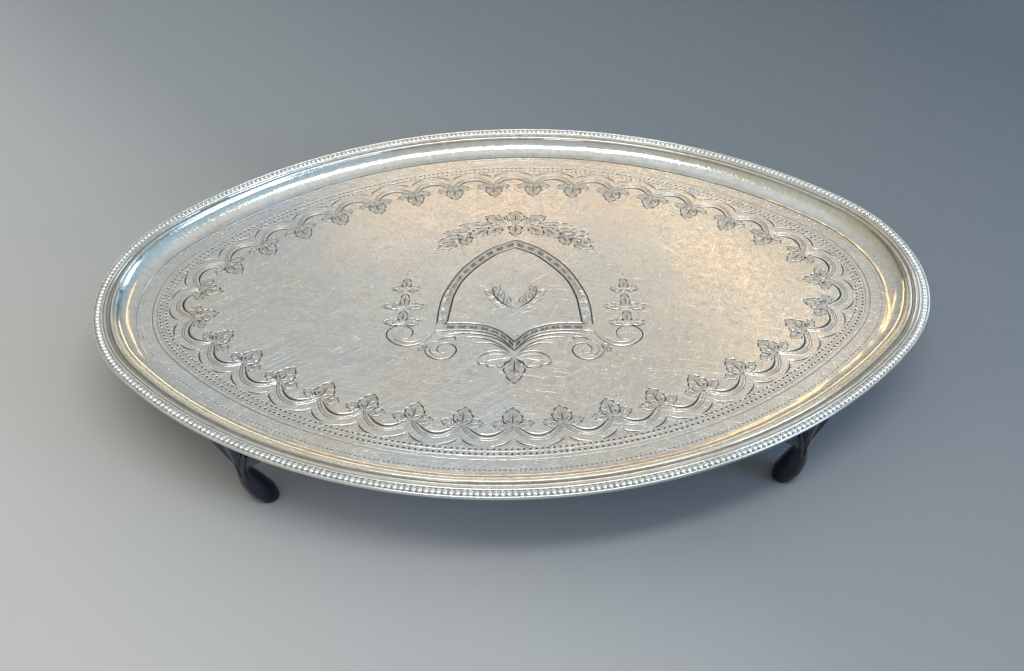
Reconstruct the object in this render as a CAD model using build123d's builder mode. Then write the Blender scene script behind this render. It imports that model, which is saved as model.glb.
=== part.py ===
from build123d import *
from math import atan2, cos, degrees, radians, sin, sqrt
import os

# Oval footed salver, in millimetres.
# +X is the long way of the oval, +Y the short way, +Z up.
# The origin is on the surface the feet stand on, under the middle of the oval.

# Plan: a four-centre oval, two end arcs and two side arcs that meet tangentially.
LENGTH = 320.0
WIDTH = 220.0
END_RADIUS = 70.0

# Flat plate that the whole piece is built on.
PLATE_TOP = 29.0
PLATE_THICKNESS = 1.3
PLATE_EDGE = 15.2  # from the outline in to the edge of the plate

# Drawn border, butted and soldered round the plate. All insets run inwards from the outline.
TOE_HEIGHT = 0.35  # how far the border's inner edge stands above the plate
CAVETTO_INSET = 7.6  # where the hollow curve ends, under the ridge
CAVETTO_RISE = 4.65
RIDGE_TOP = 34.6
RIDGE_INNER_INSET = 7.1
RIDGE_OUTER_INSET = 6.6
GROOVE_INSET = 5.7
GROOVE_FLOOR = 33.9
BAND_INSET = 5.1
BAND_TOP = 34.6
SEAT_INSET = 4.2  # shoulder that the beaded strip lies against
SEAT_HEIGHT = 33.7
FLANGE_UNDERSIDE = 33.0
FLANGE_INSET = 0.3

# Beaded strip, soldered into the seat of the border.
STRIP_SHOULDER = 34.3
OUTER_LIP_INSET = 0.6
OUTER_LIP_RISE = 0.3
BEAD_INSET = 3.1
BEAD_RISE = 0.8
INNER_LIP_INSET = 3.9
INNER_LIP_RISE = 0.4

# Cast feet, soldered to the flat underside of the flange.
FOOT_ANGLE = 30.5  # from the short axis, about the centre of the side arc
FOOT_INSET = 9.8  # from the outline in to the middle of the sole
# height, half width along the rim, half depth across it, lean outwards,
# drift along the rim towards the short axis
FOOT_SECTIONS = [
    (0.0, 3.4, 3.3, 0.0, 0.0),
    (1.2, 4.5, 4.2, 0.2, -0.4),
    (5.0, 5.2, 4.8, 1.2, -1.3),
    (10.0, 4.9, 4.3, 2.7, -2.0),
    (15.0, 3.7, 3.3, 4.1, -1.9),
    (19.5, 2.7, 2.4, 5.2, -1.3),
    (24.0, 5.6, 1.9, 6.0, -1.7),
    (FLANGE_UNDERSIDE, 16.0, 1.9, 6.4, -2.6),
]

# Worked out from the sizes above.
HALF_LENGTH = LENGTH / 2
HALF_WIDTH = WIDTH / 2
END_CENTRE = HALF_LENGTH - END_RADIUS
SIDE_RADIUS = (END_CENTRE**2 + HALF_WIDTH**2 - END_RADIUS**2) / (2 * (HALF_WIDTH - END_RADIUS))
SIDE_CENTRE = SIDE_RADIUS - HALF_WIDTH
JOIN_ANGLE = degrees(atan2(SIDE_CENTRE, END_CENTRE))  # where the arcs meet, from the long axis
SIDE_SWEEP = 180 - 2 * JOIN_ANGLE
WALL = PLATE_THICKNESS + TOE_HEIGHT  # the border's back is flush with the plate's
CAVETTO_WIDTH = PLATE_EDGE - CAVETTO_INSET
CAVETTO_RADIUS = (CAVETTO_WIDTH**2 + CAVETTO_RISE**2) / (2 * CAVETTO_RISE)
CAVETTO_CENTRE = PLATE_TOP + TOE_HEIGHT + CAVETTO_RADIUS
BACK_RADIUS = CAVETTO_RADIUS + WALL
FLANGE_ROOT_INSET = PLATE_EDGE - sqrt(BACK_RADIUS**2 - (CAVETTO_CENTRE - FLANGE_UNDERSIDE) ** 2)
PLATE_BOTTOM = PLATE_TOP - PLATE_THICKNESS

# Arcs of the front half of the outline: centre x, centre y, radius, start angle, sweep.
FRONT_ARCS = [
    (-END_CENTRE, 0.0, END_RADIUS, 180.0, JOIN_ANGLE),
    (0.0, SIDE_CENTRE, SIDE_RADIUS, 180.0 + JOIN_ANGLE, SIDE_SWEEP),
    (END_CENTRE, 0.0, END_RADIUS, -JOIN_ANGLE, JOIN_ANGLE),
]


def section_plane(centre_x, centre_y, angle):
    """Upright plane through an arc's centre: x points outwards, y points up."""
    turn = radians(angle)
    return Plane(
        origin=(centre_x, centre_y, 0),
        x_dir=(cos(turn), sin(turn), 0),
        z_dir=(sin(turn), -cos(turn), 0),
    )


def cavetto_point(inset, radius):
    """Height of an arc of the given radius about the centre line of the hollow."""
    return CAVETTO_CENTRE - sqrt(radius**2 - (PLATE_EDGE - inset) ** 2)


def back_curve(outline):
    """Underside of the hollow, from the flange in to the edge of the plate."""
    back_inset = (PLATE_EDGE + FLANGE_ROOT_INSET) / 2
    ThreePointArc(
        (outline - FLANGE_ROOT_INSET, FLANGE_UNDERSIDE),
        (outline - back_inset, cavetto_point(back_inset, BACK_RADIUS)),
        (outline - PLATE_EDGE, PLATE_BOTTOM),
    )


def border_profile(outline):
    """Cross-section of the border, for an arc whose outline has this radius."""
    middle_inset = (PLATE_EDGE + CAVETTO_INSET) / 2
    cavetto_top = PLATE_TOP + TOE_HEIGHT + CAVETTO_RISE
    Line((outline - PLATE_EDGE, PLATE_BOTTOM), (outline - PLATE_EDGE, PLATE_TOP + TOE_HEIGHT))
    ThreePointArc(
        (outline - PLATE_EDGE, PLATE_TOP + TOE_HEIGHT),
        (outline - middle_inset, cavetto_point(middle_inset, CAVETTO_RADIUS)),
        (outline - CAVETTO_INSET, cavetto_top),
    )
    Polyline(
        (outline - CAVETTO_INSET, cavetto_top),
        (outline - RIDGE_INNER_INSET, RIDGE_TOP),
        (outline - RIDGE_OUTER_INSET, RIDGE_TOP),
        (outline - GROOVE_INSET, GROOVE_FLOOR),
        (outline - BAND_INSET, BAND_TOP),
        (outline - SEAT_INSET, BAND_TOP),
        (outline - SEAT_INSET, SEAT_HEIGHT),
        (outline - FLANGE_INSET, SEAT_HEIGHT),
        (outline - FLANGE_INSET, FLANGE_UNDERSIDE),
        (outline - FLANGE_ROOT_INSET, FLANGE_UNDERSIDE),
    )
    back_curve(outline)


def hump(outline, outer_inset, inner_inset, rise):
    """Rounded top between two insets of the beaded strip."""
    middle = (outer_inset + inner_inset) / 2
    ThreePointArc(
        (outline - outer_inset, STRIP_SHOULDER),
        (outline - middle, STRIP_SHOULDER + rise),
        (outline - inner_inset, STRIP_SHOULDER),
    )


def strip_profile(outline):
    """Cross-section of the beaded strip: outer lip, row of beads, inner lip."""
    hump(outline, 0, OUTER_LIP_INSET, OUTER_LIP_RISE)
    hump(outline, OUTER_LIP_INSET, BEAD_INSET, BEAD_RISE)
    hump(outline, BEAD_INSET, INNER_LIP_INSET, INNER_LIP_RISE)
    Polyline(
        (outline - INNER_LIP_INSET, STRIP_SHOULDER),
        (outline - SEAT_INSET, STRIP_SHOULDER),
        (outline - SEAT_INSET, SEAT_HEIGHT),
        (outline, SEAT_HEIGHT),
        (outline, STRIP_SHOULDER),
    )


def half_ring(profile, turn):
    """A length of moulding round half of the oval: 0 for the front half, 180 for the back."""
    flip = -1 if turn else 1
    with BuildPart() as ring:
        for centre_x, centre_y, radius, start, sweep in FRONT_ARCS:
            plane = section_plane(flip * centre_x, flip * centre_y, start + turn)
            with BuildSketch(plane):
                with BuildLine():
                    profile(radius)
                make_face()
            revolve(axis=Axis(plane.origin, (0, 0, 1)), revolution_arc=sweep)
    return ring


def foot(side, end):
    """Cast foot; side is -1 at the front and 1 at the back, end is -1 left and 1 right."""
    turn = radians(side * (90 - end * FOOT_ANGLE))
    outward = Vector(cos(turn), sin(turn), 0)
    along = Vector(-outward.Y, outward.X, 0)
    sole = Vector(0, -side * SIDE_CENTRE, 0) + outward * (SIDE_RADIUS - FOOT_INSET)
    with BuildPart() as casting:
        for height, half_width, half_depth, lean, drift in FOOT_SECTIONS:
            middle = sole + outward * lean + along * (side * end * drift) + Vector(0, 0, height)
            with BuildSketch(Plane(origin=middle, x_dir=along, z_dir=(0, 0, 1))):
                Ellipse(half_width, half_depth)
        loft()
    return casting


os.makedirs("parts", exist_ok=True)

# Flat plate.
with BuildPart() as field_plate:
    with BuildSketch(Plane.XY.offset(PLATE_BOTTOM)):
        with BuildLine():
            for flip, turn in ((1, 0), (-1, 180)):
                for centre_x, centre_y, radius, start, sweep in FRONT_ARCS:
                    CenterArc(
                        (flip * centre_x, flip * centre_y),
                        radius - PLATE_EDGE,
                        start + turn,
                        sweep,
                    )
        make_face()
    extrude(amount=PLATE_THICKNESS)
field_plate.part.label = "field_plate"
export_step(field_plate.part, "parts/field_plate.step")

# Border and beaded strip, each in two lengths that meet at the ends of the oval.
for place, turn in (("front", 0), ("back", 180)):
    border = half_ring(border_profile, turn)
    border.part.label = f"border_{place}"
    export_step(border.part, f"parts/border_{place}.step")
    strip = half_ring(strip_profile, turn)
    strip.part.label = f"beading_{place}"
    export_step(strip.part, f"parts/beading_{place}.step")

# Four feet.
for depth, side in (("front", -1), ("back", 1)):
    for hand, end in (("left", -1), ("right", 1)):
        casting = foot(side, end)
        casting.part.label = f"foot_{depth}_{hand}"
        export_step(casting.part, f"parts/foot_{depth}_{hand}.step")
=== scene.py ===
import math

import bpy
import numpy as np
from mathutils import Matrix, Vector, geometry, kdtree


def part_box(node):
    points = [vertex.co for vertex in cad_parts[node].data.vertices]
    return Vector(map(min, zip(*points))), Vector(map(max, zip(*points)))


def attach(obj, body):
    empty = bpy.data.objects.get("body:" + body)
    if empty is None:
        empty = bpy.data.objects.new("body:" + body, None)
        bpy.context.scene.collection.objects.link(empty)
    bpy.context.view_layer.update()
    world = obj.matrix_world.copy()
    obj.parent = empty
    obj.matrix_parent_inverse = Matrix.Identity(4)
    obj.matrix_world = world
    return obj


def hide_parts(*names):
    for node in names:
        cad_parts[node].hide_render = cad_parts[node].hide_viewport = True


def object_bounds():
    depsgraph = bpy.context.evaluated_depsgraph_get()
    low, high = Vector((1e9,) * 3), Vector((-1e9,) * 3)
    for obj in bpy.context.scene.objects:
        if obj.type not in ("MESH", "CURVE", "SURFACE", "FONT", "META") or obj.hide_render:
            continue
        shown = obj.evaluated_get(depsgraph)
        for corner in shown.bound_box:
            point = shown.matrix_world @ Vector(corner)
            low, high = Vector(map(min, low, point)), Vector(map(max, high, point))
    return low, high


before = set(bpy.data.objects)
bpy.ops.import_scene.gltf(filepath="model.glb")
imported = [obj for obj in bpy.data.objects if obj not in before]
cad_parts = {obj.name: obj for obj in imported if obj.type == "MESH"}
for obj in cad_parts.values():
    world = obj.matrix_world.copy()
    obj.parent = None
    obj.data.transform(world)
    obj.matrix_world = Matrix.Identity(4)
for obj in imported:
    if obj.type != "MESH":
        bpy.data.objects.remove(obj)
cad_low, cad_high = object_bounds()

# Oval silver salver. Shapes below are worked out in millimetres, in the frame of the
# CAD model: +X along the oval, +Y towards the back, +Z up, the floor at 0.
MM = 0.001
plate_low, plate_high = (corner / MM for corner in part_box("field_plate"))
HALF_LENGTH = cad_high.x / MM
HALF_WIDTH = round(cad_high.y / MM)
PLATE_EDGE = HALF_LENGTH - plate_high.x
PLATE_TOP = plate_high.z
PLATE_BOTTOM = plate_low.z
RIM_TOP = cad_high.z / MM

# ---------------------------------------------------------------- the oval
# Four arcs that meet tangentially. Every line round the salver is this outline
# moved inwards by an inset.
END_RADIUS = 70.0
END_CENTRE = HALF_LENGTH - END_RADIUS
SIDE_RADIUS = (END_CENTRE**2 + HALF_WIDTH**2 - END_RADIUS**2) / (2 * (HALF_WIDTH - END_RADIUS))
SIDE_CENTRE = SIDE_RADIUS - HALF_WIDTH
JOIN = math.atan2(SIDE_CENTRE, END_CENTRE)
SIDE_SWEEP = math.pi - 2 * JOIN
# Centre x, centre y, radius, start angle, sweep; from the middle of the front, to the right.
ARCS = np.array([
    (0, SIDE_CENTRE, SIDE_RADIUS, -math.pi / 2, SIDE_SWEEP / 2),
    (END_CENTRE, 0, END_RADIUS, -JOIN, 2 * JOIN),
    (0, -SIDE_CENTRE, SIDE_RADIUS, JOIN, SIDE_SWEEP),
    (-END_CENTRE, 0, END_RADIUS, math.pi - JOIN, 2 * JOIN),
    (0, SIDE_CENTRE, SIDE_RADIUS, math.pi + JOIN, SIDE_SWEEP / 2),
])


def girth(inset):
    """Length round the oval at an inset."""
    return float(np.sum(ARCS[:, 4] * (ARCS[:, 2] - inset)))


def stations(travel, inset):
    """Arc centre, arc radius and outward direction at distances along the line at an inset."""
    travel = np.mod(np.asarray(travel, float), girth(inset))
    ends = np.concatenate([[0], np.cumsum(ARCS[:, 4] * (ARCS[:, 2] - inset))])
    which = np.clip(np.searchsorted(ends, travel, side="right") - 1, 0, len(ARCS) - 1)
    arc = ARCS[which]
    angle = arc[..., 3] + (travel - ends[which]) / (arc[..., 2] - inset)
    outward = np.stack([np.cos(angle), np.sin(angle)], -1)
    return arc[..., :2], arc[..., 2], outward


def ring_point(travel, inset, measured_at):
    """Plan position at an inset, reached by a distance measured along another inset's line."""
    centre, radius, outward = stations(travel, measured_at)
    return centre + outward * (radius - inset)[..., None]


# ---------------------------------------------------------------- mesh helpers
def make_piece(name, points, faces, tarnish, sharp_angle, node, material):
    """A mesh from points in millimetres, riding on the salver's one body.

    tarnish says for each point how black it is with age: 1 and more is fully black."""
    mesh = bpy.data.meshes.new(name)
    mesh.from_pydata((np.asarray(points) * MM).tolist(), [], faces)
    black = mesh.attributes.new("tarnish", "FLOAT", "POINT")
    black.data.foreach_set("value", np.asarray(tarnish, np.float32))
    mesh.validate()
    mesh.shade_smooth()
    mesh.set_sharp_from_angle(angle=math.radians(sharp_angle))
    piece = bpy.data.objects.new(name, mesh)
    bpy.context.collection.objects.link(piece)
    mesh.materials.append(material)
    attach(piece, "root")
    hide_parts(node)


def arc_points(start, middle, end, count):
    """Points of the circular arc through three points, both ends included."""
    (ax, ay), (bx, by), (cx, cy) = start, middle, end
    a2, b2, c2 = ax**2 + ay**2, bx**2 + by**2, cx**2 + cy**2
    d = 2 * (ax * (by - cy) + bx * (cy - ay) + cx * (ay - by))
    ux = (a2 * (by - cy) + b2 * (cy - ay) + c2 * (ay - by)) / d
    uy = (a2 * (cx - bx) + b2 * (ax - cx) + c2 * (bx - ax)) / d
    radius = math.hypot(ax - ux, ay - uy)
    first = math.atan2(ay - uy, ax - ux)
    via = (math.atan2(by - uy, bx - ux) - first) % (2 * math.pi)
    last = (math.atan2(cy - uy, cx - ux) - first) % (2 * math.pi)
    if via > last:
        last -= 2 * math.pi
    turn = np.linspace(first, first + last, count)
    return np.stack([ux + radius * np.cos(turn), uy + radius * np.sin(turn)], -1)


def smooth_line(points, per_span=8):
    """A Catmull-Rom curve through the points."""
    points = np.asarray(points, float)
    padded = np.vstack([2 * points[0] - points[1], points, 2 * points[-1] - points[-2]])
    t = np.linspace(0, 1, per_span, endpoint=False)[:, None]
    spans = []
    for a, b, c, d in zip(padded[:-3], padded[1:-2], padded[2:-1], padded[3:]):
        squared = (2 * a - 5 * b + 4 * c - d) * t**2
        cubed = (3 * b - a - 3 * c + d) * t**3
        spans.append(0.5 * (2 * b + (c - a) * t + squared + cubed))
    return np.vstack(spans + [points[-1:]])


def resample(points, step):
    """The same line with evenly spaced points, no further apart than step."""
    points = np.asarray(points, float)
    run = np.concatenate([[0], np.cumsum(np.linalg.norm(np.diff(points, axis=0), axis=1))])
    count = max(3, int(math.ceil(run[-1] / step)) + 1)
    where = np.linspace(0, run[-1], count)
    return np.stack([np.interp(where, run, points[:, k]) for k in range(points.shape[1])], -1)


def ring_faces(first, size, rows):
    """Faces between rows of rings of points, numbered from first."""
    faces = []
    for row in range(rows - 1):
        low, high = first + row * size, first + (row + 1) * size
        for i in range(size):
            j = (i + 1) % size
            faces.append((low + i, low + j, high + j, high + i))
    return faces


# ---------------------------------------------------------------- materials
def links(material):
    """For a material or world: one function that makes nodes and one that links them."""
    material.use_nodes = True
    tree = material.node_tree
    tree.nodes.clear()

    def node(kind, inputs=None, **settings):
        made = tree.nodes.new(kind)
        for key, value in settings.items():
            setattr(made, key, value)
        for key, value in (inputs or {}).items():
            socket = made.inputs[key]
            if isinstance(value, bpy.types.NodeSocket):
                tree.links.new(value, socket)
            else:
                socket.default_value = value
        return made

    return node, tree.links.new


def ramp(node, fac, stops):
    """A colour ramp of grey levels or colours at the given positions."""
    made = node("ShaderNodeValToRGB", {"Fac": fac})
    elements = made.color_ramp.elements
    while len(elements) < len(stops):
        elements.new(0.5)
    for element, (position, colour) in zip(elements, stops):
        element.position = position
        element.color = (*colour, 1) if isinstance(colour, tuple) else (colour, colour, colour, 1)
    return made.outputs["Color"]


def maths(node, operation, *values):
    """The output of a Math node fed with sockets or numbers."""
    return node("ShaderNodeMath", dict(enumerate(values)), operation=operation).outputs[0]


def mixed(node, factor, a, b, blend="MIX"):
    """The output of a colour Mix node fed with sockets, numbers or colours."""
    made = node("ShaderNodeMix", data_type="RGBA", blend_type=blend)
    tree_link = made.id_data.links.new
    for index, value in ((0, factor), (6, a), (7, b)):
        if isinstance(value, bpy.types.NodeSocket):
            tree_link(value, made.inputs[index])
        else:
            made.inputs[index].default_value = value if index == 0 else (*value, 1)
    return made.outputs[2]


def hairlines(node, place, angle, across, along, threshold, seed):
    """Thin straight scratches in one direction: noise drawn out along it and clipped."""
    turned = node(
        "ShaderNodeMapping",
        {
            "Vector": place,
            "Rotation": (0, 0, math.radians(angle)),
            "Location": (seed, seed * 0.37, 0),
        },
    )
    drawn = node("ShaderNodeMapping", {"Vector": turned.outputs[0], "Scale": (along, across, 1)})
    noise = node(
        "ShaderNodeTexNoise",
        {"Vector": drawn.outputs[0], "Scale": 1.0, "Detail": 1.0, "Roughness": 0.4},
        noise_dimensions="2D",
    )
    return ramp(node, noise.outputs["Fac"], [(threshold, 0.0), (threshold + 0.05, 1.0)])


# Direction in degrees, noise cells in a millimetre across and along, threshold, seed.
SCRATCHES = [
    (12, 1.7, 0.032, 0.635, 3.1),
    (47, 1.6, 0.040, 0.640, 11.7),
    (-33, 1.8, 0.036, 0.635, 23.9),
    (86, 1.6, 0.045, 0.645, 41.3),
    (-68, 1.7, 0.050, 0.645, 57.7),
    (29, 2.1, 0.070, 0.650, 71.2),
]


TARNISH_STAIN = (0.46, 0.42, 0.36)
TARNISH_SPOT = (0.22, 0.19, 0.15)
TARNISH_BLACK = (0.06, 0.05, 0.045)
BARE_SCRATCH = (1.0, 0.99, 0.96)
GRAIN = 0.03  # depth of the fine grain for each unit of scratch depth


def silver(name, tint, worn, rough, haze, scratch_depth, patina, dents):
    """Old polished silver: hairline scratches, cloudy tarnish, shallow unevenness.

    tint and worn are the two colours it clouds between, and patina is how much it is
    stained. haze is how much its roughness varies. Depths are in metres. The scratches are
    thickest about the middle of the salver, and a scratch depth of 0 leaves them out."""
    material = bpy.data.materials.new(name)
    node, link = links(material)
    place = node("ShaderNodeTexCoord").outputs["Object"]
    scaled = node("ShaderNodeMapping", {"Vector": place, "Scale": (1 / MM, 1 / MM, 1 / MM)})
    millimetres = scaled.outputs[0]
    black = node("ShaderNodeAttribute", attribute_name="tarnish").outputs["Fac"]

    scratches = None
    for angle, across, along, threshold, seed in SCRATCHES if scratch_depth else ():
        line = hairlines(node, millimetres, angle, across, along, threshold, seed)
        scratches = line if scratches is None else mixed(node, 1.0, scratches, line, "LIGHTEN")
    if scratches:
        reach = node("ShaderNodeVectorMath", {0: millimetres}, operation="LENGTH").outputs["Value"]
        near = maths(node, "MULTIPLY", reach, 0.01)
        wear = ramp(node, near, [(0.16, 1.0), (0.42, 0.45), (1.0, 0.38)])
        scratches = mixed(node, 1.0, scratches, wear, "MULTIPLY")

    def noise(scale, detail, roughness):
        """Noise with this many cells in a millimetre."""
        settings = {"Vector": millimetres, "Scale": scale, "Detail": detail, "Roughness": roughness}
        return node("ShaderNodeTexNoise", settings).outputs["Fac"]

    def bump(distance, height, under=None, **settings):
        """The surface direction given by a height, added to the one under it."""
        inputs = {"Strength": 1.0, "Distance": distance, "Height": height}
        if under is not None:
            inputs["Normal"] = under
        return node("ShaderNodeBump", inputs, **settings).outputs[0]

    cloud = noise(0.022, 5.0, 0.62)
    bloom = noise(0.31, 6.0, 0.7)
    spots = node("ShaderNodeTexVoronoi", {"Vector": millimetres, "Scale": 0.045, "Randomness": 1.0})
    spot = ramp(node, spots.outputs["Distance"], [(0.0, 1.0), (0.03, 0.6), (0.05, 0.0)])

    colour = mixed(node, ramp(node, cloud, [(0.36, 0.0), (0.62, 1.0)]), tint, worn)
    mottle = maths(node, "MULTIPLY", ramp(node, bloom, [(0.45, 0.0), (0.75, 1.0)]), patina)
    colour = mixed(node, mottle, colour, TARNISH_STAIN)
    colour = mixed(node, maths(node, "MULTIPLY", spot, patina), colour, TARNISH_SPOT)
    if scratches:
        colour = mixed(node, maths(node, "MULTIPLY", scratches, 0.65), colour, BARE_SCRATCH)
    colour = mixed(node, maths(node, "MULTIPLY", black, 0.9), colour, TARNISH_BLACK)

    cloudiness = ramp(node, bloom, [(0.3, 0.0), (0.8, 1.0)])
    roughness = maths(node, "MULTIPLY_ADD", cloudiness, haze, rough)
    roughness = maths(node, "ADD", roughness, maths(node, "MULTIPLY", black, 0.2))

    normal = bump(dents, noise(0.035, 2.0, 0.45))
    if scratches:
        normal = bump(scratch_depth, scratches, normal, invert=True)
        normal = bump(scratch_depth * GRAIN, noise(1.3, 3.0, 0.6), normal)
    shader = node(
        "ShaderNodeBsdfPrincipled",
        {"Base Color": colour, "Metallic": 1.0, "Roughness": roughness, "Normal": normal},
    )
    out = node("ShaderNodeOutputMaterial")
    link(shader.outputs[0], out.inputs[0])
    return material


PLATE_SILVER = silver(
    "plate_silver",
    tint=(0.80, 0.83, 0.83),
    worn=(0.87, 0.82, 0.75),
    rough=0.20,
    haze=0.06,
    scratch_depth=0.00014,
    patina=0.18,
    dents=0.00022,
)
BORDER_SILVER = silver(
    "border_silver",
    tint=(0.85, 0.87, 0.87),
    worn=(0.80, 0.76, 0.68),
    rough=0.07,
    haze=0.08,
    scratch_depth=0.00002,
    patina=0.35,
    dents=0.0004,
)
BEAD_SILVER = silver(
    "bead_silver",
    tint=(0.93, 0.93, 0.92),
    worn=(0.90, 0.89, 0.86),
    rough=0.12,
    haze=0.10,
    scratch_depth=0.0,
    patina=0.20,
    dents=0.00002,
)
# The blue in the feet's tint is a painted blue reflection, standing in for the blue sheen on the
# hoofs.
FOOT_SILVER = silver(
    "foot_silver",
    tint=(0.05, 0.06, 0.10),
    worn=(0.06, 0.048, 0.045),
    rough=0.08,
    haze=0.08,
    scratch_depth=0.0,
    patina=0.05,
    dents=0.00008,
)

# ---------------------------------------------------------------- engraving
SLOPE = 0.6  # depth of a cut for each unit of its half width
BROADER = 1.35  # every cut is this much wider than its drawn weight
LEAF_SHADE = 0.24  # how dark the fine shading makes a leaf
SHADE_REACH = 0.74  # how near the leaf's edge the shading comes
BLACK_DEPTH = 0.20  # depth of a cut that is as black as CUT_BLACK
CUT_BLACK = 1.5  # over 1, so the black reaches up the walls of the cut
strokes = []  # line in plan and half width at each of its points
shaded = []  # x, y and radius of each round patch of fine shading


def cut(points, width, taper=True, step=0.8):
    """One stroke of the graver: a V groove along a line in plan, in millimetres."""
    line = resample(points, step)
    t = np.linspace(0, 1, len(line))
    if taper:
        half = BROADER * width / 2 * np.sin(math.pi * np.clip(t, 0.02, 0.98)) ** 0.6
    else:
        half = np.full(len(line), BROADER * width / 2)
    strokes.append((line, half))


def curve(place, points, width, step=0.8):
    """A stroke along a smooth curve through local points, which place turns into plan points."""
    cut(place(smooth_line(points)), width, step=step)


def prick(x, y, radius):
    """A round punch mark."""
    strokes.append((np.array([[x, y]]), np.array([radius])))


def dot(place, x, y, radius):
    """A punch mark at a local point."""
    prick(*place(np.array([(x, y)]))[0], radius)


def leaf(base, heading, length, width, lobes, place, weight=0.5):
    """An engraved leaf: scalloped edge cut lobe by lobe, a midrib and side veins.

    place turns local points into plan points, so a leaf can bend with the border. Distances
    along a leaf are fractions of its length."""
    heading = np.asarray(heading, float) / np.linalg.norm(heading)
    side = np.array([-heading[1], heading[0]])
    base = np.asarray(base, float)

    def edge(t):
        return width / 2 * np.sin(math.pi * np.clip(t, 0, 1) ** 0.8) ** 0.75

    for t in np.linspace(0.1, 0.9, 9):
        x, y = place((base + heading * length * t)[None, :])[0]
        shaded.append((x, y, edge(t) * SHADE_REACH))
    notches = np.linspace(0.08, 0.93, lobes + 1)
    for hand in (-1, 1):
        for first, last in zip(notches[:-1], notches[1:]):
            q = np.linspace(0, 1, 7)
            t = first + (last - first) * q
            out = edge(t) * (0.82 + 0.24 * np.sin(math.pi * q))
            line = base + heading * (t * length)[:, None] + side * (hand * out)[:, None]
            cut(place(line), weight, step=0.5)
        for t in notches[1:-1]:
            root = base + heading * length * (t - 0.22)
            tip = base + heading * length * (t - 0.02) + side * hand * edge(t) * 0.62
            cut(place(np.array([root, (root + tip) / 2, tip])), weight * 0.55)
    q = np.linspace(-1, 1, 5)
    last = notches[-1]
    along = heading * (length * (last + (1 - last) * (1 - q**2)))[:, None]
    tip = base + along + side * (q * edge(last) * 0.8)[:, None]
    cut(place(tip), weight, step=0.5)
    midrib = np.array([base + heading * length * 0.06, base + heading * length * 0.72])
    cut(place(midrib), weight * 0.8)


# Border of swags. Places along it are measured on the line through the leaf roots.
ROOT_INSET = 36.6
SWAGS = 35
PITCH = girth(ROOT_INSET) / SWAGS
FIRST_LEAF = -3.4
BRACKET = [(0.3, 31.0), (1.7, 29.2), (4.2, 27.7), (7.2, 27.0)]


def on_ring(start):
    """Turns local points (along the border, inwards from the outline) into plan points."""
    return lambda points: ring_point(start + points[:, 0], points[:, 1], ROOT_INSET)


def swag_border():
    """Leaves joined by hanging swags, with a bracket and a dotted line under each leaf."""
    for number in range(SWAGS):
        start = FIRST_LEAF + number * PITCH
        place = on_ring(start)
        leaf((0, ROOT_INSET), (0, 1), 9.0, 7.0, 3, place, 0.62)
        for hand in (-1, 1):
            leaf((hand * 0.8, ROOT_INSET + 0.6), (hand, 0.12), 6.6, 4.6, 3, place, 0.5)
            bracket = smooth_line(np.array(BRACKET) * (hand, 1))
            cut(place(bracket), 0.62)
            for x, y in place(resample(bracket - (0, 0.95), 1.5)[1:]):
                prick(x, y, 0.34)
        dot(place, 0, ROOT_INSET - 0.3, 0.5)
        middle = on_ring(start + PITCH / 2)
        reach = PITCH / 2
        u = np.linspace(-1, 1, 25)
        cut(middle(np.stack([u * 6.7, 32.2 + 3.9 * np.abs(u) ** 2.1], -1)), 0.95)
        for bottom, rise, span in ((29.7, 5.8, 0.985), (30.6, 5.6, 0.93)):
            hanging = np.stack([u * reach * span, bottom + rise * np.abs(u) ** 2.3], -1)
            cut(middle(hanging), 0.34, taper=False)
        for v in np.linspace(-0.78, 0.78, 9):
            dot(middle, v * reach * 0.9, 31.35 + 4.2 * abs(v) ** 2.2, 0.27)


def dotted_lines():
    """Rings of punched dots, and the fine lines that run with them."""
    for inset, spacing, radius in ((26.0, 2.05, 0.56), (23.8, 2.05, 0.60), (16.6, 1.7, 0.42)):
        count = round(girth(inset) / spacing)
        travel = np.arange(count) * girth(inset) / count
        for x, y in ring_point(travel, inset, inset):
            prick(x, y, radius)
    for inset, width in ((24.9, 0.26), (22.7, 0.26), (21.0, 0.34)):
        around = ring_point(np.linspace(0, girth(inset), 400), inset, inset)
        cut(around, width, taper=False, step=1.6)


# The shield and its ornaments lie in the middle, turned a little against the oval.
CARTOUCHE_TURN = math.radians(-3.0)
CARTOUCHE_X = 0.7


def cartouche(hand):
    """Turns points of the right half of the cartouche into plan points of either half."""
    turn = np.array([
        [math.cos(CARTOUCHE_TURN), math.sin(CARTOUCHE_TURN)],
        [-math.sin(CARTOUCHE_TURN), math.cos(CARTOUCHE_TURN)],
    ])
    return lambda points: (np.asarray(points, float) * (hand, 1) + (CARTOUCHE_X, 0)) @ turn


INNER_ARCH = [(0, 27.8), (9.0, 22.0), (19.2, 9.0), (23.4, -2.0), (24.6, -10), (25.5, -18.5)]
OUTER_ARCH = [(0, 33.0), (10.0, 27.0), (20.3, 15.0), (27.0, 0.0), (29.0, -10), (29.4, -19.5)]
INNER_SILL = [(25.5, -19.5), (17, -19.6), (11, -20.8), (5, -24.2), (0, -30)]
OUTER_SILL = [(26.5, -23.8), (17, -23.6), (10, -25.0), (4.5, -28.6), (0, -34.8)]


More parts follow.
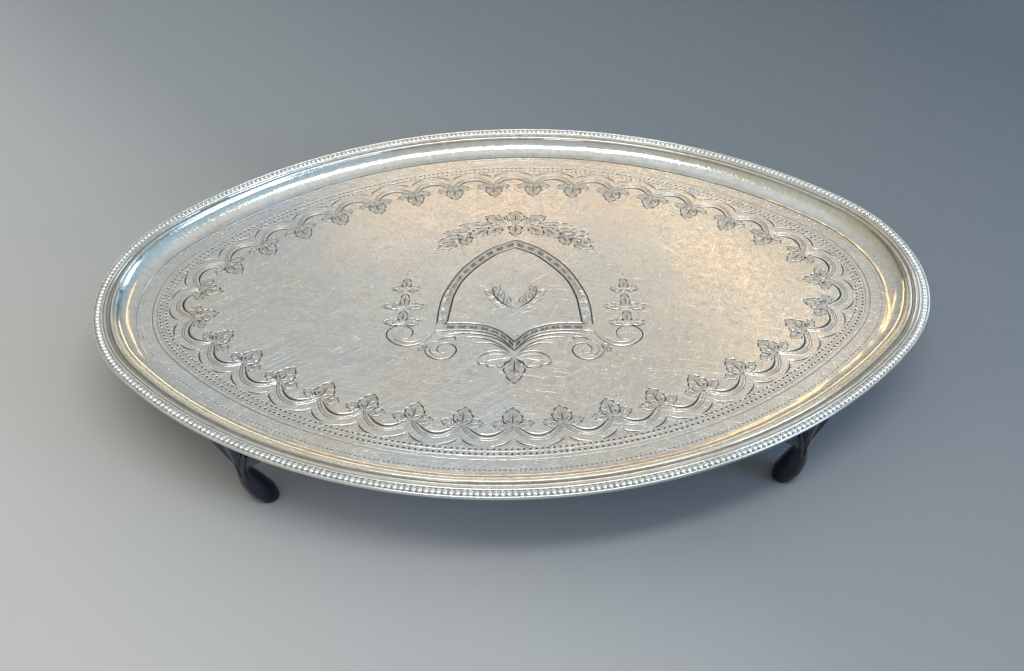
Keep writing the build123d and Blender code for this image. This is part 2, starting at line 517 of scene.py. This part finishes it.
def band(inner, outer, place, spacing):
    """Two lines with groups of short cuts between them."""
    inner_line, outer_line = smooth_line(inner), smooth_line(outer)
    cut(place(inner_line), 0.7, taper=False)
    cut(place(outer_line), 0.6, taper=False)
    groups = max(3, round(len(resample(inner_line, 1.0)) / spacing))
    a, b = resample(inner_line, 0.3), resample(outer_line, 0.3)
    for t in np.linspace(0.01, 0.99, 4 * groups):
        p, q = a[int(t * (len(a) - 1))], b[int(t * (len(b) - 1))]
        shaded.append((*place(((p + q) / 2)[None, :])[0], np.linalg.norm(p - q) * 0.42))
    for group in range(groups):
        for shift in (-0.24, -0.08, 0.08, 0.24):
            t = (group + 0.5 + shift) / groups
            p = a[int(t * (len(a) - 1))]
            q = b[int(t * (len(b) - 1))]
            cut(place(np.array([p * 0.78 + q * 0.22, p * 0.22 + q * 0.78])), 0.5)
        t = (group + 1.0) / groups
        if t < 0.99:
            p, q = a[int(t * (len(a) - 1))], b[int(t * (len(b) - 1))]
            dot(place, *(p + q) / 2, 0.4)


# Curves below the shield, and the weight of each.
SHIELD_CURVES = [
    # Long leaf under the sill, with a knot on its lower edge.
    ([(29.0, -29.5), (24, -26.0), (18, -25.2), (10, -26.6), (4, -30.4), (0.2, -36.5)], 0.7),
    ([(29.0, -29.5), (25.5, -27.6), (22.4, -27.2), (22.0, -28.8), (20.3, -29.4)], 0.6),
    (
        [(20.3, -29.4), (18.8, -28.4), (17.6, -27.4), (11, -28.2), (5, -31.8), (0.8, -36.6)],
        0.6,
    ),
    ([(14.5, -30.2), (8.5, -31.0), (3.4, -34.2), (0.8, -37.4)], 0.55),
    # Outer scroll and its stem.
    (
        [
            (30.0, -20.5), (30.4, -25.5), (34, -30.2), (39, -32.2), (44, -31.2), (47.6, -27.4),
            (47.4, -23.4), (44.4, -20.9), (40.8, -21.2), (38.3, -23.8), (38.8, -27.2),
            (41.6, -28.6), (43.8, -26.8), (42.6, -24.6),
        ],
        0.62,
    ),
    ([(31.6, -26.4), (35.5, -29.3), (40, -30.3), (44, -28.8), (46.0, -25.4)], 0.5),
    # Inner scroll and its stem.
    (
        [
            (29.6, -29.0), (32.8, -32.6), (32.2, -37), (28, -39.7), (23.6, -38.6), (21.4, -35.0),
            (22.6, -31.8), (25.8, -30.8), (28.4, -32.8), (28.2, -35.4), (26, -36.2),
            (24.9, -34.6), (26.1, -33.6),
        ],
        0.62,
    ),
    ([(30.6, -31.4), (31.2, -34.6), (29.6, -37.2), (26.6, -38.2)], 0.4),
]


def shield(place):
    """Pointed shield with a worked band round it, and the scrolls and leaf below it."""
    band(INNER_ARCH, OUTER_ARCH, place, 4.6)
    band(INNER_SILL, OUTER_SILL, place, 4.4)
    for line, width in SHIELD_CURVES:
        curve(place, line, width)
    leaf((32.8, -31.0), (0.5, -0.85), 5.4, 2.4, 2, place, 0.45)
    for x, y in ((36.4, -36.0), (37.5, -37.1), (38.6, -38.2), (39.7, -39.2)):
        dot(place, x, y, 0.36)


def palmette(place):
    """Half of the palmette under the shield, with a scalloped lower edge."""
    curve(place, [(0.8, -38.2), (4.0, -35.7), (8.6, -35.4), (12.4, -38.0), (13.6, -40.6)], 0.6)
    for first, middle, last in (
        ((13.6, -40.6), (12.6, -42.2), (10.6, -41.9)),
        ((10.6, -41.9), (9.2, -43.6), (7.0, -42.9)),
        ((7.0, -42.9), (5.2, -43.9), (3.4, -42.2)),
        ((3.4, -42.2), (2.2, -41.2), (0.8, -38.8)),
    ):
        curve(place, [first, middle, last], 0.6, step=0.5)
    curve(place, [(1.6, -38.4), (5, -37.1), (8.6, -37.3), (11, -39.4)], 0.45)
    curve(place, [(1.8, -38.9), (5.5, -39.6), (9.6, -40.4)], 0.45)


def husks(place):
    """A column of buds between spread leaves, beside the shield."""
    x = 42.6
    for y, radius in ((10.2, 0.5), (12.0, 0.42), (13.7, 0.36)):
        dot(place, x, y, radius)
    for y, half, bud in ((1.4, 5.2, 6.6), (-9.3, 8.2, 8.2), (-18.6, 6.9, 7.0)):
        leaf((x, y), (0, 1), bud, 3.6, 2, place, 0.5)
        for way in (-1, 1):
            leaf((x + way * 0.5, y - 0.3), (way, 0.02), half, 3.6, 3, place, 0.5)
            cup = [(x, y - 0.6), (x + way * half * 0.5, y - 2.4), (x + way * half, y - 0.2)]
            curve(place, cup, 0.5)


GARLAND = [  # root, heading, length, width, lobes
    ((4.2, 45.2), (0.86, 0.42), 9.5, 6.4, 3),
    ((9.0, 43.4), (1.0, -0.02), 14.5, 4.0, 3),
    ((6.2, 42.6), (0.62, -0.74), 8.2, 5.8, 3),
    ((12.0, 41.0), (0.72, -0.68), 9.4, 5.2, 3),
    ((17.2, 39.4), (1.0, -0.16), 13.0, 4.4, 3),
    ((19.2, 36.4), (0.34, -0.92), 7.6, 5.0, 3),
    ((21.2, 35.4), (0.92, -0.34), 11.4, 4.6, 3),
    ((23.6, 31.0), (0.86, -0.42), 9.2, 4.6, 3),
]


def garland(place):
    """Half of the spray of leaves and berries over the shield."""
    for root, heading, length, width, lobes in GARLAND:
        leaf(root, heading, length, width, lobes, place, 0.62)
    for x, y, radius in (
        (3.2, 42.0, 0.6), (8.6, 40.2, 0.5), (15.6, 40.8, 0.5), (19.4, 38.0, 0.5), (23.2, 33.2, 0.5),
        (32.4, 25.8, 0.5), (33.1, 24.3, 0.46), (33.8, 22.8, 0.42), (34.4, 21.4, 0.38),
    ):
        dot(place, x, y, radius)


def sprig(place):
    """A plain spray of leaves where the owner's mark would be."""
    curve(place, [(-1.5, -11.5), (3.4, -8.8), (7.6, -3.6), (9.0, 3.4)], 0.62)
    for root, heading in (
        ((2.9, -9.2), (1.0, 0.10)), ((5.6, -6.4), (1.0, 0.35)), ((7.8, -2.8), (0.9, 0.6)),
        ((3.6, -8.6), (-0.25, 1.0)), ((6.2, -5.4), (-0.35, 1.0)), ((8.2, -1.4), (-0.45, 1.0)),
    ):
        leaf(root, heading, 5.4, 2.8, 1, place, 0.42)


swag_border()
dotted_lines()
for hand in (1, -1):
    half_place = cartouche(hand)
    shield(half_place)
    palmette(half_place)
    husks(half_place)
    garland(half_place)
    sprig(half_place)
whole_place = cartouche(1)
leaf((0, 45.4), (0, 1), 8.0, 7.6, 3, whole_place, 0.62)
leaf((0, 43.6), (0, -1), 8.2, 5.4, 2, whole_place, 0.62)
leaf((0, -38.6), (0, -1), 13.6, 7.6, 3, whole_place, 0.66)


def engraved_plate():
    """The flat plate, with every stroke cut into its top as real grooves."""
    plan, edges = [], []
    samples = []  # x, y and half width, close together along every cut

    def chain(points, closed=False):
        """Adds a line that the triangles have to follow."""
        first = len(plan)
        plan.extend(map(tuple, points))
        numbers = list(range(first, len(plan)))
        edges.extend(zip(numbers[:-1], numbers[1:]))
        if closed:
            edges.append((numbers[-1], numbers[0]))

    rim_count = 420
    dot_sides = 6
    rim = ring_point(np.arange(rim_count) * girth(PLATE_EDGE) / rim_count, PLATE_EDGE, PLATE_EDGE)
    chain(rim, closed=True)
    for line, half in strokes:
        if len(line) == 1:
            turn = np.linspace(0, 2 * math.pi, dot_sides + 1)[:-1]
            circle = np.stack([np.cos(turn), np.sin(turn)], -1)
            for size in (1.0, 0.5):
                chain(line + size * half[0] * circle, closed=True)
            plan.append(tuple(line[0]))
            samples.append((*line[0], half[0]))
            continue
        ahead = np.gradient(line, axis=0)
        ahead /= np.linalg.norm(ahead, axis=1)[:, None] + 1e-9
        side = np.stack([-ahead[:, 1], ahead[:, 0]], -1)
        chain(line)
        chain(line + side * half[:, None])
        chain(line - side * half[:, None])
        fine = resample(np.column_stack([line, half]), 0.12)
        samples.extend(map(tuple, fine))
        samples.extend(map(tuple, np.column_stack([line, half])))

    result = geometry.delaunay_2d_cdt([Vector(p) for p in plan], edges, [], 0, 1e-4)
    flat, triangles = result[0], result[2]

    def lookup(circles):
        """A tree of circle centres, and the largest radius among them."""
        tree = kdtree.KDTree(len(circles))
        for number, (x, y, _) in enumerate(circles):
            tree.insert((x, y, 0), number)
        tree.balance()
        return tree, max(circle[2] for circle in circles)

    tree, widest = lookup(samples)
    shade_tree, broadest = lookup(shaded)
    top, shade = [], []
    for point in flat:
        deepest = 0.0
        for _, number, distance in tree.find_range((point[0], point[1], 0), widest):
            half = samples[number][2]
            if distance < half:
                deepest = max(deepest, half - distance)
        top.append((point[0], point[1], PLATE_TOP - SLOPE * deepest))
        near = shade_tree.find_range((point[0], point[1], 0), broadest)
        inside = any(distance < shaded[number][2] for _, number, distance in near)
        shade.append(LEAF_SHADE * inside)
    # Where each point of the rim ended up among the triangulated ones.
    order = [0] * rim_count
    for number, sources in enumerate(result[3]):
        for source in sources:
            if source < rim_count:
                order[source] = number
    faces = [tuple(t) for t in triangles]
    below = len(top)
    points = top + [(x, y, PLATE_BOTTOM) for x, y in rim]
    for k in range(rim_count):
        j = (k + 1) % rim_count
        faces.append((order[k], below + k, below + j, order[j]))
    faces.append(tuple(below + k for k in reversed(range(rim_count))))
    depth = PLATE_TOP - np.array([point[2] for point in top])
    tarnish = np.maximum(np.clip(depth / BLACK_DEPTH, 0, 1) * CUT_BLACK, shade)
    tarnish = np.concatenate([tarnish, np.zeros(rim_count)])
    make_piece(
        "engraved_plate", points, faces, tarnish, 9, "field_plate", PLATE_SILVER
    )


engraved_plate()

# ---------------------------------------------------------------- border and beading
HALF_GIRTH = girth(0) / 2
RIGHT_END = ARCS[0, 4] * ARCS[0, 2] + ARCS[1, 4] / 2 * ARCS[1, 2]
HALVES = {
    "front": (-HALF_GIRTH + RIGHT_END, RIGHT_END),
    "back": (RIGHT_END, RIGHT_END + HALF_GIRTH),
}


def moulding(name, profile, half, step, wave, sharp, node, material, extra=None):
    """A closed cross-section carried round half of the oval; wave is how uneven it is by hand.

    Each point of the section is inset, height, how far it follows the wave, and tarnish."""
    start, end = HALVES[half]
    count = int((end - start) / step) + 1
    travel = np.linspace(start, end, count)
    centre, radius, outward = stations(travel, 0)
    profile = np.asarray(profile, float)
    phase = travel / girth(0) * 2 * math.pi
    unevenness = wave * sum(
        size * np.sin(waves * phase + shift)
        for size, waves, shift in ((0.5, 7, 0.6), (0.35, 17, 2.1), (0.25, 29, 4.0))
    )
    points = []
    for k in range(count):
        inset = profile[:, 0] + profile[:, 2] * unevenness[k]
        xy = centre[k] + outward[k] * (radius[k] - inset)[:, None]
        z = profile[:, 1] - profile[:, 2] * unevenness[k] * 0.6
        points.append(np.column_stack([xy, z]))
    points = np.vstack(points)
    tarnish = np.tile(profile[:, 3], count)
    size = len(profile)
    faces = []
    for k in range(count - 1):
        for i in range(size):
            j = (i + 1) % size
            faces.append((k * size + i, (k + 1) * size + i, (k + 1) * size + j, k * size + j))
    faces.append(tuple(range(size)))
    faces.append(tuple((count - 1) * size + i for i in reversed(range(size))))
    if extra is not None:
        more_points, more_faces, more_tarnish = extra
        faces += [tuple(v + len(points) for v in face) for face in more_faces]
        points = np.vstack([points, more_points])
        tarnish = np.concatenate([tarnish, more_tarnish])
    make_piece(name, points, faces, tarnish, sharp, node, material)


def section(*runs):
    """One closed section from runs of (inset, height) points, each with its wave and tarnish."""
    rows = []
    for points, give, black in runs:
        rows += [(*point, give, black) for point in points]
    return rows


TOE_HEIGHT = 0.35
TOE = PLATE_TOP + TOE_HEIGHT
HOLLOW_INSET = 7.6
HOLLOW_RISE = 4.65
WALL = PLATE_TOP - PLATE_BOTTOM + TOE_HEIGHT
HOLLOW_RADIUS = ((PLATE_EDGE - HOLLOW_INSET) ** 2 + HOLLOW_RISE**2) / (2 * HOLLOW_RISE)
FLANGE = 33.0
SEAT = 33.7


def hollow(inset, radius):
    """Height of an arc of the given radius about the centre line of the hollow."""
    return TOE + HOLLOW_RADIUS - math.sqrt(radius**2 - (PLATE_EDGE - inset) ** 2)


BACK_RADIUS = HOLLOW_RADIUS + WALL
FLANGE_ROOT = PLATE_EDGE - math.sqrt(BACK_RADIUS**2 - (TOE + HOLLOW_RADIUS - FLANGE) ** 2)
front_of_hollow = [
    (inset, hollow(inset, HOLLOW_RADIUS)) for inset in np.linspace(PLATE_EDGE - 0.3, 7.8, 22)
]
back_of_hollow = [
    (inset, hollow(inset, BACK_RADIUS)) for inset in np.linspace(FLANGE_ROOT, PLATE_EDGE, 14)
]
border_section = section(
    ([(PLATE_EDGE, PLATE_TOP + 0.1), (PLATE_EDGE, TOE - 0.12)], 0, 0.5),
    ([(PLATE_EDGE - 0.08, TOE - 0.02)], 0, 0.1),
    (front_of_hollow, 1, 0),
    ([(7.64, 34.02)], 0.4, 0.5),
    (arc_points((7.5, 34.1), (7.0, 34.78), (6.5, 34.3), 9), 0.4, 0),
    (arc_points((6.3, 33.9), (5.75, 33.5), (5.2, 33.9), 7), 0.2, 0.45),
    ([(5.12, 34.4), (4.98, 34.56), (4.8, 34.6), (4.42, 34.6), (4.26, 34.54)], 0, 0),
    ([(4.2, 34.4)], 0, 0),
    ([(4.2, SEAT), (0.3, SEAT), (0.3, FLANGE + 0.15), (0.45, FLANGE)], 0, 0),
    (back_of_hollow, 0, 0),
)

BEAD_PITCH = 2.03
BEAD_INSET = 1.88
BEAD_HALF = 1.22
BEAD_FOOT = 34.1
# Rings of points up a bead: how wide, how high and how black each is.
BEAD_RINGS = [
    (1.0, 0.0, 0.6), (0.98, 0.28, 0.2), (0.86, 0.58, 0.0), (0.6, 0.83, 0.0), (0.3, 0.96, 0.0),
]
strip_section = section(
    (arc_points((0.02, 34.15), (0.32, 34.66), (0.62, 34.25), 7), 0, 0),
    ([(0.68, BEAD_FOOT + 0.03), (0.76, BEAD_FOOT)], 0, 0.55),
    ([(3.04, BEAD_FOOT), (3.1, BEAD_FOOT + 0.03)], 0, 0.55),
    (arc_points((3.16, 34.25), (3.5, 34.8), (3.84, 34.3), 7), 0, 0),
    ([(3.93, 34.1), (4.12, 34.1)], 0, 0.45),
    ([(4.2, 34.3), (4.2, SEAT), (0.06, SEAT), (0.0, SEAT + 0.1)], 0, 0),
)


def bead_row(half):
    """Domes touching one another along the strip, each a little different."""
    start, end = HALVES[half]
    at = girth(BEAD_INSET) / girth(0)
    count = round((end - start) * at / BEAD_PITCH)
    travel = start + (np.arange(count) + 0.5) * (end - start) / count
    pitch = (end - start) * at / count
    centre, radius, outward = stations(travel, 0)
    random = np.random.default_rng(17 if half == "front" else 18)
    tarnish = []
    around = np.linspace(0, 2 * math.pi, 13)[:-1]
    points, faces = [], []
    for k in range(count):
        along = np.array([-outward[k][1], outward[k][0]])
        middle = centre[k] + outward[k] * (radius[k] - BEAD_INSET + random.normal(0, 0.02))
        wide = BEAD_HALF * random.normal(1, 0.015)
        height = (RIM_TOP - BEAD_FOOT - 0.02) * random.uniform(0.93, 1.0)
        base = len(points)
        for shrink, lift, black in BEAD_RINGS:
            tarnish += [black] * len(around)
            for a in around:
                across = outward[k] * math.cos(a) * wide * shrink
                beside = along * math.sin(a) * pitch * 0.5 * shrink
                points.append((*(middle + (across + beside)), BEAD_FOOT + lift * height))
        points.append((*middle, BEAD_FOOT + height))
        tarnish.append(0.0)
        size = len(around)
        faces += ring_faces(base, size, len(BEAD_RINGS))
        crown = base + len(BEAD_RINGS) * size
        for i in range(size):
            faces.append((crown - size + i, crown - size + (i + 1) % size, crown))
        faces.append(tuple(base + i for i in reversed(range(size))))
    return np.array(points), faces, np.array(tarnish)


MOULDING_STEP = 1.4
for half in HALVES:
    moulding(
        f"moulded_border_{half}", border_section, half, MOULDING_STEP,
        wave=0.16, sharp=34, node=f"border_{half}", material=BORDER_SILVER,
    )
    moulding(
        f"beaded_strip_{half}", strip_section, half, MOULDING_STEP,
        wave=0.0, sharp=40, node=f"beading_{half}", material=BEAD_SILVER,
        extra=bead_row(half),
    )

# ---------------------------------------------------------------- feet
FOOT_ANGLE = math.radians(30.5)
FOOT_INSET = 9.8
FOOT_KNOCK = 1.5  # how far the hoofs have been knocked sideways in use
KNOCK_TOP = 20.0  # the height above which a foot is still straight
FAN_START = 20.0  # the height at which the fan bracket begins
FAN_FADE = 7.0  # the height over which its flutes deepen
FLUTES = 9
# Height, half width along the rim, half depth across it, lean outwards, drift towards the
# short axis.
FOOT_SECTIONS = np.array([
    (0.0, 3.2, 3.1, 0.0, 0.0),
    (0.35, 3.9, 3.7, 0.05, -0.1),
    (1.4, 4.5, 4.2, 0.25, -0.4),
    (5.0, 5.2, 4.8, 1.2, -1.3),
    (10.0, 4.9, 4.3, 2.7, -2.0),
    (15.0, 3.7, 3.3, 4.1, -1.9),
    (19.0, 2.7, 2.4, 5.2, -1.3),
    (22.0, 3.7, 2.0, 5.7, -1.4),
    (27.0, 9.0, 1.8, 6.2, -2.0),
    (32.97, 15.8, 1.8, 6.4, -2.6),
])


# Scrolls down the inner side of the fan: line of (sideways, height) points, and thickness.
FOOT_SCROLLS = [
    ([(-6.0, 30.0), (-3.6, 25.5), (-1.8, 21.5), (-1.5, 18.0), (-1.9, 15.6)], 1.0),
    ([(-3.8, 30.0), (-1.3, 25.5), (0.4, 21.5), (0.5, 18.4), (-0.5, 16.9), (-1.2, 17.8)], 0.42),
    ([(-2.6, 30.0), (-0.2, 25.8), (1.3, 21.8), (1.3, 18.2), (0.3, 16.0)], 0.36),
]


def foot(name, node, side, end):
    """Cast foot: hoof, ankle and fluted fan bracket with a double scroll on its inner side."""
    turn = side * (math.pi / 2 - end * FOOT_ANGLE)
    outward = np.array([math.cos(turn), math.sin(turn)])
    along = np.array([-outward[1], outward[0]]) * (-side * end)
    sole = np.array([0, -side * SIDE_CENTRE]) + outward * (SIDE_RADIUS - FOOT_INSET)
    profile = smooth_line(FOOT_SECTIONS, 7)
    around = np.linspace(0, 2 * math.pi, 57)[:-1]
    points, faces, tarnish = [], [], []

    def put(u, v, z, black=0.0):
        """Local place: u along the rim towards the near end of the oval, v outwards."""
        knocked = FOOT_KNOCK * max(0.0, 1 - z / KNOCK_TOP)
        x, y = sole + outward * v + along * u
        points.append((x - side * knocked, y, min(z, FLANGE - 0.02)))
        tarnish.append(black)

    for z, half_width, half_depth, lean, drift in profile:
        fan = np.clip((z - FAN_START) / FAN_FADE, 0, 1)
        for a in around:
            u, v = math.cos(a), math.sin(a)
            rib = math.cos(FLUTES * math.asin(max(-1, min(1, u))))
            flute = 1 + 0.2 * fan * rib * abs(v)
            black = 0.35 * fan * max(0.0, -rib)
            put(u * half_width - drift, lean + v * half_depth * flute, z, black)
    size, rows = len(around), len(profile)
    faces += ring_faces(0, size, rows)
    faces.append(tuple(reversed(range(size))))
    faces.append(tuple((rows - 1) * size + i for i in range(size)))

    def surface(u, z):
        """How far out the front of the foot is, at a place measured from its middle line."""
        half_width, half_depth, lean = (
            np.interp(z, profile[:, 0], profile[:, k]) for k in (1, 2, 3)
        )
        return lean + half_depth * math.sqrt(max(0.0, 1 - (u / half_width) ** 2))

    def roll(line, thickness):
        """A rounded ridge lying on the front of the foot along a line of (u, z) points."""
        path = resample(smooth_line(line), 0.5)
        first = len(points)
        ring = np.linspace(0, 2 * math.pi, 11)[:-1]
        ahead = np.gradient(path, axis=0)
        ahead /= np.linalg.norm(ahead, axis=1)[:, None]
        for k, (u, z) in enumerate(path):
            fade = math.sin(math.pi * min(max(k / (len(path) - 1), 0.04), 0.96)) ** 0.35
            middle = -np.interp(z, profile[:, 0], profile[:, 4])
            for a in ring:
                spread = thickness * fade * math.cos(a)
                rise = thickness * fade * math.sin(a)
                across, up = -ahead[k][1] * spread, ahead[k][0] * spread
                put(middle + u + across, surface(u, z) + rise, z + up)
        count = len(ring)
        faces.extend(ring_faces(first, count, len(path)))
        faces.append(tuple(first + i for i in reversed(range(count))))
        faces.append(tuple(first + (len(path) - 1) * count + i for i in range(count)))

    for line, thickness in FOOT_SCROLLS:
        roll(line, thickness)
    make_piece(name, points, faces, tarnish, 40, node, FOOT_SILVER)


for depth, side in (("front", -1), ("back", 1)):
    for hand, end in (("left", -1), ("right", 1)):
        foot(f"cast_foot_{depth}_{hand}", f"foot_{depth}_{hand}", side, end)

# ---------------------------------------------------------------- floor, light, camera
floor_mesh = bpy.data.meshes.new("floor")
FLOOR_HALF = 6.0
floor_corners = [
    (x * FLOOR_HALF, y * FLOOR_HALF, 0) for x, y in ((-1, -1), (1, -1), (1, 1), (-1, 1))
]
floor_mesh.from_pydata(floor_corners, [], [(0, 1, 2, 3)])
floor = bpy.data.objects.new("floor", floor_mesh)
bpy.context.collection.objects.link(floor)
floor_material = bpy.data.materials.new("floor_paper")
node, link = links(floor_material)
place = node("ShaderNodeTexCoord").outputs["Object"]
# Painted light: pale where the light falls at the front left, darkening to blue-grey towards the
# back right.
across = node(
    "ShaderNodeVectorMath", {0: place, 1: (0.80, 0.60, 0.0)}, operation="DOT_PRODUCT"
).outputs["Value"]
fade = maths(node, "MULTIPLY_ADD", across, 1.4, 0.45)
tone = ramp(
    node, fade,
    [
        (0.17, (0.60, 0.58, 0.55)), (0.33, (0.46, 0.465, 0.46)), (0.44, (0.31, 0.325, 0.335)),
        (0.66, (0.19, 0.215, 0.24)), (0.97, (0.104, 0.13, 0.155)),
    ],
)
paper = node("ShaderNodeTexNoise", {"Vector": place, "Scale": 180.0, "Detail": 3.0}).outputs["Fac"]
tone = mixed(node, maths(node, "MULTIPLY", paper, 0.05), tone, (0.6, 0.6, 0.6))
shader = node("ShaderNodeBsdfPrincipled", {"Base Color": tone, "Roughness": 0.9})
out = node("ShaderNodeOutputMaterial")
link(shader.outputs[0], out.inputs[0])
floor_mesh.materials.append(floor_material)


def softbox(name, place, size, power, colour, roll=0.0):
    """A rectangular soft light aimed at the origin; metres, watts and degrees of roll."""
    data = bpy.data.lights.new(name, "AREA")
    data.shape = "RECTANGLE"
    data.size, data.size_y = size
    data.energy = power
    data.color = colour
    lamp = bpy.data.objects.new(name, data)
    lamp.location = place
    facing = (-Vector(place)).to_track_quat("-Z", "Y").to_matrix()
    lamp.rotation_euler = (facing @ Matrix.Rotation(math.radians(roll), 3, "Z")).to_euler()
    bpy.context.collection.objects.link(lamp)


softbox("glow_back", (-0.02, 1.30, 0.875), (0.44, 0.07), 0.24, (1.0, 0.62, 0.28))
softbox("glow_right", (0.44, 1.30, 1.04), (0.56, 0.08), 0.34, (1.0, 0.64, 0.28), -36)
softbox("overhead", (0.10, -0.42, 1.68), (1.50, 0.30), 10, (1.0, 1.0, 0.98))
softbox("back_strip", (-0.10, 1.60, 0.30), (1.60, 0.14), 1.5, (1.0, 0.84, 0.56))
softbox("cool_back_right", (1.25, 0.85, 0.40), (0.60, 0.45), 2.6, (0.55, 0.82, 1.0))
softbox("side_cool", (1.05, -0.62, 0.40), (0.50, 0.40), 6.0, (0.38, 0.58, 1.0))

# Soft surroundings: dark at the horizon and light above, blue to the right and cream to the left.
world = bpy.data.worlds.new("studio")
bpy.context.scene.world = world
node, link = links(world)
direction = node("ShaderNodeTexCoord").outputs["Generated"]
parts = node("ShaderNodeSeparateXYZ", {"Vector": direction})
height = ramp(
    node, parts.outputs["Z"],
    [(0.0, 0.05), (0.12, 0.16), (0.36, 0.42), (0.62, 0.50), (0.80, 0.56), (1.0, 0.80)],
)
sideways = maths(node, "MULTIPLY_ADD", parts.outputs["X"], 0.5, 0.5)
tint = ramp(
    node, sideways,
    [
        (0.12, (1.0, 0.98, 0.83)), (0.26, (1.0, 0.99, 0.88)), (0.38, (0.90, 0.98, 1.03)),
        (0.60, (0.99, 0.99, 0.95)), (0.80, (0.86, 1.12, 1.28)),
    ],
)
sky = mixed(node, 1.0, height, tint, "MULTIPLY")
background = node("ShaderNodeBackground", {"Color": sky, "Strength": 1.0})
out = node("ShaderNodeOutputWorld")
link(background.outputs[0], out.inputs[0])
bpy.context.scene.view_settings.view_transform = "Standard"

CAMERA_LENS = 40.34
CAMERA_PLACE = Vector((-13.5, -346.9, 284.3 + PLATE_TOP)) * MM
CAMERA_AIM = Vector((-1.6, -26.5, PLATE_TOP)) * MM
CAMERA_ROLL = math.radians(-0.605)
camera_data = bpy.data.cameras.new("camera")
camera_data.lens = CAMERA_LENS
camera_data.sensor_width = 36.0
camera_data.clip_start = 0.01
camera = bpy.data.objects.new("camera", camera_data)
camera.location = CAMERA_PLACE
level = (CAMERA_AIM - CAMERA_PLACE).to_track_quat("-Z", "Y").to_matrix()
camera.rotation_euler = (level @ Matrix.Rotation(CAMERA_ROLL, 3, "Z")).to_euler()
bpy.context.collection.objects.link(camera)
bpy.context.scene.camera = camera
